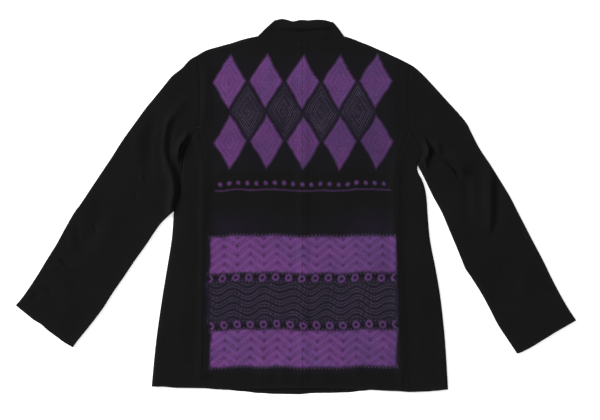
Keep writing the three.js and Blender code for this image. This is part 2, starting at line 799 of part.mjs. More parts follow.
const garment = new THREE.Group();
for (const side of ["left", "right"]) {
  garment.add(
    piece(`back_${side}`, backPanel(side), DYED),
    piece(`side_back_${side}`, sideBackPanel(side)),
    piece(`front_${side}`, frontPanel(side)),
    piece(`sleeve_${side}`, sleeve(side)),
  );
}
garment.add(piece("collar", collar()));

const box = new THREE.Box3().setFromObject(garment);
const centre = box.getCenter(new THREE.Vector3());
garment.position.set(-centre.x, -centre.y, -box.min.z);

const jacket = new THREE.Group();
jacket.add(garment);

export default jacket;
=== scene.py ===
import math

import bpy
import numpy as np
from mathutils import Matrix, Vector


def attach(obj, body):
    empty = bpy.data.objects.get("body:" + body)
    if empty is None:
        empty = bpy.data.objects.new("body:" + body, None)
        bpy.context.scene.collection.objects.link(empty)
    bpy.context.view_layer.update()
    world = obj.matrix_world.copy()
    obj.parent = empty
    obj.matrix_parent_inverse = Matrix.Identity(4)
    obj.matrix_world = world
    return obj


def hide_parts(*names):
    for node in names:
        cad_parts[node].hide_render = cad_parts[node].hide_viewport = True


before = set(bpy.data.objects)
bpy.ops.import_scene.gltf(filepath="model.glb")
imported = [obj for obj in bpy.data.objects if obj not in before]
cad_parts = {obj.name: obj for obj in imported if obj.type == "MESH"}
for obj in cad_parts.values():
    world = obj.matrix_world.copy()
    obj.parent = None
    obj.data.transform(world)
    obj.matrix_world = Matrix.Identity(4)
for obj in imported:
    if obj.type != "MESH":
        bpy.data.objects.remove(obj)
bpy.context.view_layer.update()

# ---- Sizes, in millimetres on the jacket's own cutting plan ----
# x runs from the centre-back seam and y from the lowest point of the hem.

SHIFT = np.array([15.007, -384.531])  # from the cutting plan to the frame's origin
MM = 0.001
SIGN = {"left": -1, "right": 1}  # of x on each side
CLOTH = 1.3  # two plies where the cloth is turned, and what a panel's edge shows
HALF_CLOTH = CLOTH / 2
TOP = 5.6  # height of the upper layer's outer face
LAYER_GAP = 0.15
SEAM_GAP = -0.04  # from a seam's line to each sewn edge: they meet, so no light shows through
NECK_LAP = 0.3  # how far the back's neck edge is let into the collar's seam, which hardly shows
BESIDE = 0.05  # from the body's side edge to the sleeve beside it
ALLOWANCE = 11  # pressed seam allowance
HEM = 32  # turned hem

# Grids: a panel's nominal length and width, which set how many rows and columns it has.
BACK_SPAN, SIDE_BACK_SPAN, FRONT_SPAN, SLEEVE_SPAN = (722, 210), (525, 96), (700, 300), (600, 175)
COLLAR_SPAN = 42
STEP, FRONT_STEP, COLLAR_STEP = 2.3, 6, 1.6  # spacing of the grids
SLEEVE_STEP, SPREAD = (2.8, 2.0), 0.4  # a sleeve's rows spread by this share towards the cuff
NEAR = (0.0, 0.1, 0.34, 0.65, 1.1, 2.0)  # first columns in from an edge
NEAR_FOLD = (0, 0.06, 0.25, 0.6, 1.1, 1.7, 2.4, 3.4)  # the same by a sleeve's fold
HEM_POINTS, SEAM_POINTS = 160, 60

# Relief of the cloth.
ROLL = 9  # width over which the upper layer rolls down to a fold or a side
ROLL_END = 14  # how near the end of its edge that roll starts to die out
FAR = 40  # a distance out of any roll's reach
TUCK_Y, TUCK_FADE, TUCK_DROP = 385, 20, 2.4  # a steeper roll by the tuck under the left arm
UNEVEN = ((0.35, 46, 3), (0.14, 17, 4))  # height, size and seed of the layer's unevenness
REACH = 2.6  # how many widths from its run a crease is worked out
LEAN_FROM = 7  # a crease leans in full only this far in from a sleeve's edges
END_SHARE, END_MOST = 0.42, 38  # a crease dies out over this share of its run, or this length
WEAR_AND_SHEEN = ((0.75, 5), (0.25, 20))  # share and reach of the nap's wear by a folded edge, which the material also paints there as lighter sheen
GROOVE, GROOVE_WIDTH = 0.4, 1.6  # along a seam
PUCKER, PUCKER_WIDTH, PUCKER_PITCH = 0.13, 7, 11
HEM_STEP, HEM_DIP = 0.45, 0.15
PEEP_X, PEEP_HALF, PEEP_FADE = -8, 165, 60  # where the front's hem peeps out below the back's
PEEP_HIGH, PEEP_DROP = 34, 0.8  # and how the back comes down to it
PANEL_SEED = {"back_left": 20, "back_right": 60, "side_back_left": 100, "side_back_right": 140}
ARMHOLE_SEAM = {"left": (200, 0.5), "right": (230, 0.22)}  # seed and ridge
COLLAR_SEED = 300

HEM_LINE = [(-310, 15.5), (-288, 15.5), (-256, 13), (-206, 12.5), (-173, 10), (-146, 9.5),
            (-68, 11), (0, 12), (76, 11), (131, 9), (188, 6.5), (220, 4.5), (254, 5.5), (270, 7),
            (297, 9.5)]
FRONT_HEM_LINE = [(-309, 17), (-256, 15), (-206, 14), (-157, 8.5), (-124, 5.5), (-91, 2),
                  (-58, 0.2), (-9, -0.5), (24, 2), (56, 2.3), (90, 3.3), (122, 6.5), (155, 11),
                  (200, 10), (296, 12)]
SIDE = {
    "left": [(-310, 15), (-301, 107), (-289, 193), (-279, 254), (-269, 316), (-265, 365),
             (-263, 386), (-257, 406), (-251.5, 426), (-248.5, 450), (-243, 500)],
    "right": [(297, 10), (291, 107), (282, 193), (272, 254), (260, 316), (255.5, 365),
              (253, 400), (249, 423), (243, 440), (235, 456), (235, 470), (243, 501)],
}
SIDE_BACK = {
    "left": [(-209, 10), (-205, 66), (-203, 193), (-201, 322), (-200, 398), (-202, 480),
             (-215, 545)],
    "right": [(209, 8), (203, 59), (198, 193), (191, 316), (188, 398), (195, 480), (219, 545)],
}
LOWER_ARMHOLE = {
    "left": [(-243, 500), (-228, 519), (-215, 545)],
    "right": [(243, 501), (232, 520), (219, 545)],
}
UPPER_ARMHOLE = {
    "left": [(-215, 545), (-211, 594), (-212, 644), (-217, 693)],
    "right": [(219, 545), (215, 590), (215, 633), (219, 675)],
}
SHOULDER = {
    "left": [(-217, 693), (-202, 702), (-186, 708), (-153, 717), (-120, 727), (-92, 733)],
    "right": [(219, 675), (192, 689), (159, 704), (126, 718), (94, 730), (84, 732)],
}
BACK_NECK_DROP, FRONT_NECK_DROP, COLLAR_HEIGHT = 11, 78, 45
COLLAR_TOP = [(-55, 766), (-44, 768.5), (-34, 767), (-20, 763.5), (-5, 766.5), (11, 765.5),
              (28, 767), (44, 766), (59, 762)]
COLLAR_FRONT = 130  # nominal length of the band from the side of the neck to the centre front
COLLAR_GAP = 0.15  # from the centre to each end of the band
BAND_BACK_COLUMNS, BAND_FRONT_COLUMNS, BAND_FOLD_COLUMNS = 83, 33, 12
# A sleeve's folds, from the armhole to the cuff.
OUTER_FOLD = {
    "left": [(-217, 693), (-232, 684), (-248, 667), (-268, 651), (-282, 634), (-308, 602),
             (-322, 585), (-346, 552), (-369, 520), (-390, 487), (-412, 454), (-434, 421),
             (-456, 388), (-468, 372), (-487, 339), (-505, 306), (-525, 274), (-545, 241),
             (-567, 208), (-579, 192), (-588, 182)],
    "right": [(219, 675), (231, 667), (248, 651), (264, 634), (293, 602), (323, 569), (336, 552),
              (344, 536), (361, 503), (383, 470), (403, 438), (423, 405), (440, 372), (457, 339),
              (474, 306), (491, 274), (507, 241), (524, 208), (543, 175), (559, 151)],
}
INNER_FOLD = {
    "left": [(-286, 356), (-300, 339), (-322, 306), (-345, 274), (-367, 241), (-390, 208),
             (-411, 175), (-436, 142), (-462, 110), (-472, 96)],
    "right": [(243, 454), (251, 438), (267, 405), (285, 372), (299, 339), (313, 306), (326, 274),
              (333, 257), (344, 241), (365, 208), (383, 175), (400, 142), (421, 110), (439, 83)],
}
PARTING_Y = {"left": 375, "right": 470}  # down to here the sleeve lies against the body
CUFF = {
    "left": [(0, 0), (0.12, 1), (0.32, 2), (0.46, 0.3), (0.56, 2), (0.85, 2), (1, 0)],
    "right": [(0, 0), (0.36, 0.2), (0.5, 1.2), (0.77, 2.5), (0.91, 1.8), (1, 0)],
}
# Creases: height, width on the right and on the left of the run, the run, and for a crease that
# leans over a trough, how far to the left of its run. Most run downwards.
CREASES = [
    # left sleeve: a long crescent, its shaded side, and the tuck where it meets the body
    (2.4, 9, 9, [(-225, 613), (-244, 596), (-262, 576), (-279, 554), (-288, 530)]),
    (3.6, 5, 5.5, [(-262, 580), (-274, 560), (-281, 540), (-284, 518), (-284.5, 495), (-282, 473),
                   (-277, 452), (-272, 436)]),
    (8.4, 6.5, 9, [(-283, 500), (-279, 479), (-273, 461), (-269, 443), (-266.5, 423), (-268, 403),
                   (-271, 385), (-272, 350)], 1.6),
    (-1.6, 3, 6, [(-260, 562), (-268, 538), (-273, 512), (-274, 488), (-271, 466), (-266, 448)]),
    (-5, 5, 6, [(-262, 474), (-257, 450), (-254.5, 426), (-257, 402), (-263, 375)]),
    (11, 5, 2.6, [(-231, 543), (-238, 531), (-247, 521), (-254.5, 512), (-258.5, 498), (-257, 482),
                  (-253, 466)], 4.8),
    (-5, 2.2, 2.4, [(-220, 543), (-227, 529), (-236, 516), (-242.5, 506), (-247, 493),
                    (-248.5, 480), (-250, 466)]),
    (-2.0, 12, 10, [(-297, 578), (-310, 531), (-316, 480), (-310, 435)]),
    (1.8, 12, 12, [(-332, 566), (-338, 521), (-342, 469)]),
    (1.6, 3, 3, [(-336, 455), (-330, 443), (-324, 430)]),
    (-1.3, 5, 5, [(-342, 418), (-342, 394)]),
    (1.1, 14, 18, [(-375, 387), (-400, 332), (-426, 271)]),
    (-1.4, 14, 14, [(-408, 398), (-433, 336), (-461, 271)]),
    (-1.2, 6, 6, [(-466, 356), (-460, 328), (-458, 296)]),
    (1.8, 9, 7, [(-482, 345), (-474, 318), (-470, 290)]),
    (-2.2, 3, 4, [(-430, 350), (-425, 338), (-422, 326)]),
    (-3.4, 3, 4, [(-500, 281), (-486, 266), (-470, 262)]),
    (2.2, 5, 5, [(-524, 264), (-508, 258), (-494, 258)]),
    (-2.8, 3, 4, [(-535, 220), (-520, 210), (-505, 208)]),
    (-2.4, 3, 4, [(-556, 205), (-541, 196)]),
    (1.5, 14, 18, [(-500, 270), (-486, 210), (-470, 150)]),
    # right sleeve: a forked tuck, a short crescent, and a long fold with a flat top
    (-6, 2.4, 2.2, [(250, 530), (259, 514), (266, 499), (273, 485)]),
    (-9, 2.4, 2.8, [(261, 508), (259, 493), (260, 472)]),
    (6.6, 4.0, 2.6, [(246, 522), (252, 504), (253, 476)], 3.8),
    (3.6, 2.6, 7, [(266, 522), (277, 502), (284, 486)]),
    (-3.2, 9, 8, [(246, 482), (262, 474), (286, 462)]),
    (3.6, 3.4, 3, [(249, 496), (250, 477), (255, 456)]),
    (3.8, 26, 34, [(338, 502), (330, 474), (322, 440)]),
    (6.4, 2.8, 13, [(284, 489), (301, 484), (315, 474), (326, 458), (333, 437)], -2.4),
    (-5, 3.2, 2.6, [(280, 480), (293, 476), (304, 467), (314, 454), (321, 436)]),
    (5.2, 16, 3.2, [(373, 486), (381, 462), (384, 428), (384, 387), (383, 344), (379, 318)]),
    (-2.85, 3.4, 13, [(391, 474), (395, 428), (396, 377), (393, 330)]),
    (1.3, 6, 10, [(344, 458), (350, 426), (353, 387), (355, 345)]),
    (-1.3, 8, 6, [(328, 447), (334, 414), (337, 373), (334, 335)]),
    (1.6, 6, 9, [(348, 250), (371, 213), (392, 176)]),
    (-1.2, 3, 3, [(445, 336), (459, 312)]),
    (-0.9, 5, 5, [(404, 271), (416, 242)]),
    (-1.1, 3, 4, [(502, 223), (519, 201)]),
    (1.5, 14, 18, [(455, 270), (449, 210), (440, 150)]),
    # body: along the seams, below the shoulders and down to the hem
    (2.6, 8, 15, [(-199, 689), (-199, 613), (-203, 541)]),
    (2.2, 9, 11, [(-201, 500), (-203, 398), (-204, 275), (-207, 111), (-209, 10)]),
    (2.2, 9, 11, [(190, 500), (189, 398), (191, 275), (197, 131), (204, 10)]),
    (1.7, 10, 12, [(0, 700), (0, 398), (0, 5)]),
    (1.4, 22, 24, [(-236, 470), (-240, 270), (-250, 60)]),
    (1.4, 22, 24, [(232, 440), (238, 270), (248, 60)]),
    (1.8, 44, 46, [(-110, 660), (-96, 540), (-100, 420)]),
    (1.8, 44, 46, [(112, 640), (98, 540), (104, 430)]),
    (1.8, 9, 10, [(-86, 115), (-84, 50), (-88, -10)]),
    (1.8, 8, 9, [(-69, 72), (-70, 40), (-70, 0)]),
    (1.8, 9, 10, [(-40, 92), (-42, 40), (-42, -10)]),
    (1.7, 14, 16, [(36, 100), (40, 50), (38, -10)]),
    (1.5, 12, 14, [(112, 95), (110, 45), (116, -10)]),
    (-1.2, 9, 9, [(100, 57), (135, 50), (170, 45)]),
    (1.5, 18, 20, [(-176, 640), (-160, 600), (-150, 560)]),
    (1.5, 18, 20, [(170, 622), (182, 580), (190, 540)]),
    (1.0, 26, 20, [(-240, 230), (-180, 190), (-120, 205)]),
    (1.0, 22, 20, [(150, 350), (190, 330), (235, 345)]),
]
# The collar's rolled band, the groove under it, deepest in the middle, and a rise at the left.
COLLAR_CREASES = [
    (2.4, 3.6, 13, [(-66, 749), (-31, 751), (-14, 750), (2, 750), (31, 751.5), (55, 752),
                    (68, 747), (82, 738)]),
    (-1.5, 2.8, 2.4, [(-66, 743), (-49, 745), (-31, 744.5), (-14, 743), (2, 743), (31, 745),
                      (55, 745.5), (70, 739), (86, 727)]),
    (-1.6, 2.4, 2.2, [(-20, 742.5), (-14, 742.5), (2, 742.5), (14, 743.5)]),
    (1.4, 7, 5, [(-60, 760), (-68, 746), (-74, 736)]),
]


# ---- Curves and grids ----

def spline(table, steps=24):
    """Smooth line through a table's points, closely sampled."""
    p = np.array(table, float)
    p = np.vstack([p[:1], p, p[-1:]])
    t = np.linspace(0, 1, steps, endpoint=False)[:, None]
    runs = []
    for a, b, c, d in zip(p[:-3], p[1:-2], p[2:-1], p[3:]):
        v0, v1 = (c - a) / 2, (d - b) / 2
        runs.append((2 * b - 2 * c + v0 + v1) * t**3 + (3 * c - 3 * b - 2 * v0 - v1) * t**2
                    + v0 * t + b)
    return np.vstack([*runs, p[-1:]])


def run_of(line):
    """Length run at each point of a line."""
    return np.concatenate([[0], np.cumsum(np.linalg.norm(np.diff(line, axis=0), axis=1))])


def along(line, at):
    """Points of a line at shares of its length."""
    run = run_of(line)
    return np.stack([np.interp(at, run / run[-1], line[:, k]) for k in (0, 1)], axis=1)


def smooth(t):
    t = np.clip(t, 0, 1)
    return t * t * (3 - 2 * t)


def level(table, x):
    """Height of a smooth line through a table of x and y."""
    xs, ys = np.array(table, float).T
    k = np.clip(np.searchsorted(xs, x) - 1, 0, len(xs) - 2)
    share = smooth((x - xs[k]) / (xs[k + 1] - xs[k]))
    return ys[k] + (ys[k + 1] - ys[k]) * share


def hem_line(table, from_x, to_x):
    """Part of a hem, sampled evenly."""
    x = np.linspace(from_x, to_x, HEM_POINTS)
    return np.stack([x, level(table, x)], axis=1)


def above_hem(line, corner):
    """A line up from the hem, started at the hem's corner."""
    return np.vstack([corner, line[line[:, 1] > corner[1] + 0.5]])


def joined(*lines):
    return np.vstack([lines[0], *[line[1:] for line in lines[1:]]])


def aside(line, distance):
    """Moves a line's points to the left of its run."""
    t = np.gradient(line, axis=0)
    t /= np.linalg.norm(t, axis=1)[:, None]
    return line + distance * np.stack([-t[:, 1], t[:, 0]], axis=1)


def shares(length, near=NEAR, step=STEP, growth=0.0):
    """Shares across a width: closely spaced by both edges, and even or growing between."""
    near = np.array(near)
    count = max(2, round((length - 2 * near[-1]) / step))
    t = np.linspace(0, 1, count + 1)
    inner = near[-1] + (length - 2 * near[-1]) * t * (1 - growth + growth * t)
    return np.concatenate([near[:-1], inner, length - near[:-1][::-1]]) / length


def coons(left, right, bottom, top, v, u):
    """Grid of points inside four lines. Rows follow v up left and right, columns follow u."""
    a, b = along(left, v)[:, None], along(right, v)[:, None]
    c, d = along(bottom, u)[None], along(top, u)[None]
    s, r = u[None, :, None], v[:, None, None]
    return ((1 - s) * a + s * b + (1 - r) * c + r * d - (1 - s) * (1 - r) * left[0]
            - s * (1 - r) * right[0] - (1 - s) * r * left[-1] - s * r * right[-1])


def relax(g, rounds):
    """Winslow's equations: rows and columns stay clear of each other round an inward corner."""
    for _ in range(rounds):
        e, w, n, s = g[1:-1, 2:], g[1:-1, :-2], g[2:, 1:-1], g[:-2, 1:-1]
        row, column = (e - w) / 2, (n - s) / 2
        a = (row**2).sum(-1, keepdims=True)
        b = (row * column).sum(-1, keepdims=True)
        c = (column**2).sum(-1, keepdims=True)
        twist = g[2:, 2:] - g[2:, :-2] - g[:-2, 2:] + g[:-2, :-2]
        g[1:-1, 1:-1] = (c * (e + w) + a * (n + s) - b / 2 * twist) / (2 * (a + c))
    return g


def cubic(values, t):
    """Smooth interpolation of rows of values at shares t of the way through them."""
    last = len(values) - 1
    k = np.clip((t * last).astype(int), 0, last - 1)
    f = (t * last - k).reshape(-1, *[1] * (values.ndim - 1))
    a, b, c, d = (values[np.clip(k + o, 0, last)] for o in (-1, 0, 1, 2))
    square, cube = (2 * a - 5 * b + 4 * c - d) / 2, 3 * b - a + d - 3 * c
    return b + f * ((c - a) / 2 + f * (square + f * cube / 2))


def relaxed(left, right, bottom, top, v, u, rows=41, columns=29, rounds=900):
    """Grid inside four lines, spread by relaxing a coarse one."""
    plain = coons(left, right, bottom, top, np.linspace(0, 1, rows), np.linspace(0, 1, columns))
    moved = relax(plain.copy(), rounds) - plain
    moved = cubic(np.swapaxes(cubic(moved, v), 0, 1), u)
    return coons(left, right, bottom, top, v, u) + np.swapaxes(moved, 0, 1)


def edge_distance(grid):
    """Distance of each point from the grid's left, right, bottom and top edge."""

    def from_first(g):
        step = np.linalg.norm(np.diff(g, axis=1), axis=-1)
        run = np.concatenate([np.zeros((len(g), 1)), np.cumsum(step, axis=1)], axis=1)
        tangent = np.gradient(g[:, 0], axis=0)
        inward = g[:, 3] - g[:, 0]  # over a few columns, because the first ones lie very close
        sine = np.abs(tangent[:, 0] * inward[:, 1] - tangent[:, 1] * inward[:, 0])
        sine /= np.linalg.norm(tangent, axis=1) * np.linalg.norm(inward, axis=1)
        return run * sine[:, None]

    flipped = np.swapaxes(grid, 0, 1)
    return {
        "left": from_first(grid),
        "right": from_first(grid[:, ::-1])[:, ::-1],
        "bottom": from_first(flipped).T,
        "top": from_first(flipped[:, ::-1])[:, ::-1].T,
    }


def from_line(line, x, y):
    """Distance of each point from a line of many short pieces."""
    nearest = np.full(x.shape, 1e9)
    for (ax, ay), (dx, dy) in zip(line[:-1], np.diff(line, axis=0)):
        share = np.clip(((x - ax) * dx + (y - ay) * dy) / (dx * dx + dy * dy + 1e-12), 0, 1)
        nearest = np.minimum(nearest, (x - ax - share * dx) ** 2 + (y - ay - share * dy) ** 2)
    return np.sqrt(nearest)


# ---- Relief ----

def noise(x, y, size, seed, count=64):
    """Smooth uneven field from -1 to 1, with lumps of about the given size. It repeats after
    count lumps."""
    rng = np.random.default_rng(seed)
    table = rng.uniform(-1, 1, (count, count))
    i, j = np.floor(x / size).astype(int), np.floor(y / size).astype(int)
    f, g = smooth(x / size - i), smooth(y / size - j)

    def at(a, b):
        return table[a % count, b % count]

    return ((1 - f) * (1 - g) * at(i, j) + f * (1 - g) * at(i + 1, j)
            + (1 - f) * g * at(i, j + 1) + f * g * at(i + 1, j + 1))


def stroke(x, y, before, after, run):
    """Share from 0 to 1 of a ridge or trough along a run of points, with its own width on either
    side, and the direction to the left of the run."""
    line = spline(run, 10)
    total, across = np.zeros(x.shape), np.zeros((*x.shape, 2))
    reach = REACH * max(before, after)
    near = ((x > line[:, 0].min() - reach) & (x < line[:, 0].max() + reach)
            & (y > line[:, 1].min() - reach) & (y < line[:, 1].max() + reach))
    px, py = x[near], y[near]
    nearest, off, place = np.full(px.shape, 1e9), np.zeros(px.shape), np.zeros(px.shape)
    left = np.zeros((*px.shape, 2))
    run_at = run_of(line)
    for k, (a, b) in enumerate(zip(line[:-1], line[1:])):
        d = b - a
        length = math.hypot(*d)
        share = np.clip(((px - a[0]) * d[0] + (py - a[1]) * d[1]) / length**2, 0, 1)
        ox, oy = px - a[0] - share * d[0], py - a[1] - share * d[1]
        apart = ox**2 + oy**2
        closer = apart < nearest
        nearest[closer] = apart[closer]
        off[closer] = np.sign(d[0] * oy - d[1] * ox)[closer]
        place[closer] = (run_at[k] + share * length)[closer]
        left[closer] = (-d[1] / length, d[0] / length)
    width = np.where(off < 0, before, after)
    end = min(END_SHARE * run_at[-1], END_MOST)
    fade = smooth(place / end) * smooth((run_at[-1] - place) / end)
    total[near] = fade * np.exp(-nearest / width**2)
    across[near] = left
    return total, across


def creases(x, y, rows=CREASES):
    """Height that the creases add at each point."""
    return sum(height * stroke(x, y, *row[:3])[0] for height, *row in rows)


def leaning(x, y):
    """Sideways shift of the cloth where a crease leans over the trough beside it."""
    shift = np.zeros((*x.shape, 2))
    for _, before, after, run, *lean in CREASES:
        if lean:
            share, across = stroke(x, y, before, after, run)
            shift += lean[0] * share[..., None] * across
    return shift


def rounded(d, radius):
    """Quarter-round rise from 0 to 1 over a distance."""
    return np.sqrt(1 - (1 - np.clip(d / radius, 0, 1)) ** 2)


def from_side_seam(side, x, y):
    """Distance from the side seam, out of reach from the armhole up."""
    end = SIDE[side][-1][1]
    distance = from_line(lines[side]["side"], x, y)
    if side == "left":
        distance = distance * (1 + TUCK_DROP * smooth((y - TUCK_Y) / TUCK_FADE))
    return np.where(y >= end, FAR, distance + np.maximum(0, y - end + ROLL_END))


def below_shoulder(side, x, y):
    """Distance below the shoulder's fold, and more by its ends."""
    rows = sorted((abs(a), b) for a, b in SHOULDER[side])
    (first, _), (last, _) = rows[0], rows[-1]
    out = np.abs(x)
    ends = np.minimum(np.abs(out - first), np.abs(out - last))
    return level(rows, np.clip(out, first, last)) - y + np.maximum(0, ROLL_END - ends / 2)


def seam_relief(d, s, seed, ridge=0.3):
    """Profile beside a seam at distance d: the groove, the pressed allowance and slight pucker."""
    groove = -GROOVE * np.exp(-((d / GROOVE_WIDTH) ** 2))
    pressed = ridge * smooth((ALLOWANCE + 1.5 - d) / 3)
    wave = np.sin(2 * np.pi * s / PUCKER_PITCH + 2.2 * noise(s, s * 0, 37, seed))
    uneven = 0.6 + 0.6 * noise(s, s * 0, 60, seed + 1)
    return groove + pressed + PUCKER * wave * np.exp(-((d / PUCKER_WIDTH) ** 2)) * uneven


def hem_relief(d):
    """Profile above a turned hem: doubled cloth, and the step where it ends."""
    return HEM_STEP * smooth((HEM - d) / 2.5) - HEM_DIP * np.exp(-(((d - HEM - 1) / 2) ** 2))


LOWEST = -(TOP - 2 * CLOTH - LAYER_GAP)  # a trough that touches the layer below


def upper_face(x, y, fall, lift=1):
    """Outer face of the upper layer. fall is the distance from the edge that it rolls down to, and
    lift the share of its rise that it keeps."""
    low = 2 * CLOTH + LAYER_GAP
    relief = creases(x, y)
    for height, size, seed in UNEVEN:
        relief = relief + height * noise(x, y, size, seed)
    relief = np.maximum(relief, LOWEST)
    return low + (TOP - low + relief) * rounded(fall, ROLL) * lift


# ---- Meshes ----

def normals(p, loop):
    """Unit normals of a grid. A looped grid's last column is followed by its first."""
    if loop:
        du = np.roll(p, -1, axis=1) - np.roll(p, 1, axis=1)
    else:
        du = np.gradient(p, axis=1)
    dv = np.gradient(p, axis=0)
    n = np.cross(du, dv)
    return n / np.maximum(np.linalg.norm(n, axis=-1, keepdims=True), 1e-9)


def edge_wear_and_sheen(distance):
    """Wear of the nap by a folded edge, from 1 at the edge. The material paints this lighter, so
    it is partly painted sheen.
    """
    return sum(share * np.exp(-distance / reach) for share, reach in WEAR_AND_SHEEN)


def shell(name, middle, half, wear_and_sheen, material, loop=False):
    """Closed thin shell round a grid of middle points. half is half the wall at each point, and
    where it is nought, round the open edges, the outer and inner faces meet."""
    rows, columns = half.shape
    n = normals(middle, loop)
    outer, inner = middle + n * half[..., None], middle - n * half[..., None]
    edge = np.zeros((rows, columns), bool)
    edge[[0, -1]] = True
    if not loop:
        edge[:, [0, -1]] = True
    outside = np.arange(rows * columns).reshape(rows, columns)
    inside = outside.copy()
    inside[~edge] = rows * columns + np.arange((~edge).sum())
    points = np.vstack([outer.reshape(-1, 3), inner[~edge]])
    points[:, :2] += SHIFT

    def quads(i):
        nxt = np.roll(i, -1, axis=1) if loop else i[:, 1:]
        here = i if loop else i[:, :-1]
        return np.stack([here[:-1], nxt[:-1], nxt[1:], here[1:]], axis=-1)

    faces = [quads(outside), quads(inside)[..., [0, 3, 2, 1]]]
    whole = np.ones(faces[0].shape[:2], bool)
    triangles = []
    if not loop:  # a corner's faces are cut from the corner inwards, and so share no cut
        for row, column in ((0, 0), (0, -1), (-1, 0), (-1, -1)):
            whole[row, column] = False
            for face in faces:
                a, b, c, d = np.roll(face[row, column], 0 if row == column else -1)
                triangles += [a, b, c, a, c, d]
    corners = np.concatenate([*[face[whole].ravel() for face in faces], np.array(triangles, int)])
    sides = np.repeat([4, 3], [2 * whole.sum(), len(triangles) // 3])
    mesh = bpy.data.meshes.new(name)
    mesh.vertices.add(len(points))
    mesh.vertices.foreach_set("co", (points * MM).astype(np.float32).ravel())
    mesh.loops.add(len(corners))
    mesh.loops.foreach_set("vertex_index", corners.astype(np.int32))
    mesh.polygons.add(len(sides))
    mesh.polygons.foreach_set("loop_start", (np.cumsum(sides) - sides).astype(np.int32))
    mesh.polygons.foreach_set("loop_total", sides.astype(np.int32))
    mesh.polygons.foreach_set("use_smooth", np.ones(len(sides), bool))
    # each point's wear of the nap by folded edges, which the material also paints as lighter sheen
    mesh.attributes.new("wear_and_sheen", "FLOAT", "POINT").data.foreach_set(
        "value", np.concatenate([wear_and_sheen.ravel(), wear_and_sheen[~edge]]).astype(np.float32))
    mesh.update(calc_edges=True)
    mesh.validate()
    mesh.materials.append(material)
    obj = bpy.data.objects.new(name, mesh)
    bpy.context.scene.collection.objects.link(obj)
    return obj


def half_wall(*distances):
    """Half the wall, rounded off at the nearest of the edges."""
    return HALF_CLOTH * rounded(np.minimum.reduce(distances), HALF_CLOTH)


def finish(obj, node):
    """Hangs a piece under the root body and hides the model's part that it stands for."""
    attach(obj, "root")
    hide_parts(node)


# ---- Shared lines ----

TABLES = {"side": SIDE, "side_back": SIDE_BACK, "lower": LOWER_ARMHOLE, "upper": UPPER_ARMHOLE,
          "shoulder": SHOULDER}
lines = {side: {name: spline(table[side]) for name, table in TABLES.items()} for side in SIGN}
neck_y = (SHOULDER["left"][-1][1] + SHOULDER["right"][-1][1]) / 2


def neck_seam(side, drop):
    """From a neck point to the centre."""
    x, y = SHOULDER[side][-1]
    t = np.linspace(0, 1, SEAM_POINTS)
    return np.stack([x * (1 - t), y + (neck_y - drop - y) * np.sin(t * np.pi / 2)], axis=1)


def panel_grid(side, outer, inner, top, hem_table, v, u):
    """Grid of a panel in +x order, from its edges towards the jacket's side and centre."""
    top[0], top[-1] = outer[-1], inner[-1]
    hem = hem_line(hem_table, outer[0, 0], inner[0, 0])
    outer, inner = above_hem(outer, hem[0]), above_hem(inner, hem[-1])
    if side == "left":
        return coons(outer, inner, hem, top, v, u)
    return coons(inner, outer, hem[::-1], top[::-1], v, u)


# ---- Surface fields: the same words work out numbers and shader nodes ----

class Value:
    """A number that varies over the surface, made by shader nodes."""

    def __init__(self, tree, socket):
        self.tree, self.socket = tree, socket

    def math(self, operation, *others):
        node = self.tree.nodes.new("ShaderNodeMath")
        node.operation = operation
        for k, value in enumerate((self, *others)):
            if isinstance(value, Value):
                self.tree.links.new(value.socket, node.inputs[k])
            else:
                node.inputs[k].default_value = float(value)
        return Value(self.tree, node.outputs[0])

    def __add__(self, other): return self.math("ADD", other)
    def __sub__(self, other): return self.math("SUBTRACT", other)
    def __mul__(self, other): return self.math("MULTIPLY", other)
    def __truediv__(self, other): return self.math("DIVIDE", other)
    def __rsub__(self, other): return self.math("MULTIPLY", -1).math("ADD", other)
    def __abs__(self): return self.math("ABSOLUTE")
    __radd__, __rmul__ = __add__, __mul__


def call(v, operation, function, *others):
    """Works a function out on numbers, or adds its node."""
    return v.math(operation, *others) if isinstance(v, Value) else function(v, *others)


def sine(v): return call(v, "SINE", np.sin)
def floor(v): return call(v, "FLOOR", np.floor)
def root(v): return call(v, "SQRT", np.sqrt)
def least(v, other): return call(v, "MINIMUM", np.minimum, other)
def most(v, other): return call(v, "MAXIMUM", np.maximum, other)
def hypot(a, b): return root(a * a + b * b)


def put(node, values):
    """Sets inputs of a node."""
    for name, value in values.items():
        node.inputs[name].default_value = value


def ramp(v, start, end):
    """Smooth step from 0 at start to 1 at end."""
    if not isinstance(v, Value):
        return smooth((v - start) / (end - start))
    node = v.tree.nodes.new("ShaderNodeMapRange")
    node.interpolation_type = "SMOOTHSTEP"
    v.tree.links.new(v.socket, node.inputs["Value"])
    put(node, {"From Min": start, "From Max": end})
    return Value(v.tree, node.outputs["Result"])


def centred(v, pitch):
    """Offset from the nearest of the places that lie a pitch apart."""
    return v - floor(v / pitch + 0.5) * pitch


BAND_Y, BAND_PITCH, BAND_HALF = 94, 96, 37  # the lowest band's middle, the pitch, half a band
DESIGN_HALF = 190  # half the length of the bands
ZIGZAG_LONG, ZIGZAG_SLOPE, ZIGZAG_PITCH, WAVE_PITCH = 54, 0.8, 18, 14.4
TILE_Y, TILE_W, TILE_H = 640, 37.5, 62  # the top lozenges' middle, half their width and height
RING_PITCH, RING = 27.1, 5.6
DOTS_Y, DOT_PITCH, DOTS_HALF = 431, 18.6, 179  # the row's height, pitch and half its length
RULE_DROP = 13  # from the row of dots down to the thin rule


def pair(v, pitch, width=1.0):
    """Two close lines of stitches, a pitch from the next two."""
    return ramp(abs(abs(centred(v, pitch)) - 2.7), 1.9 * width, 0.5 * width)


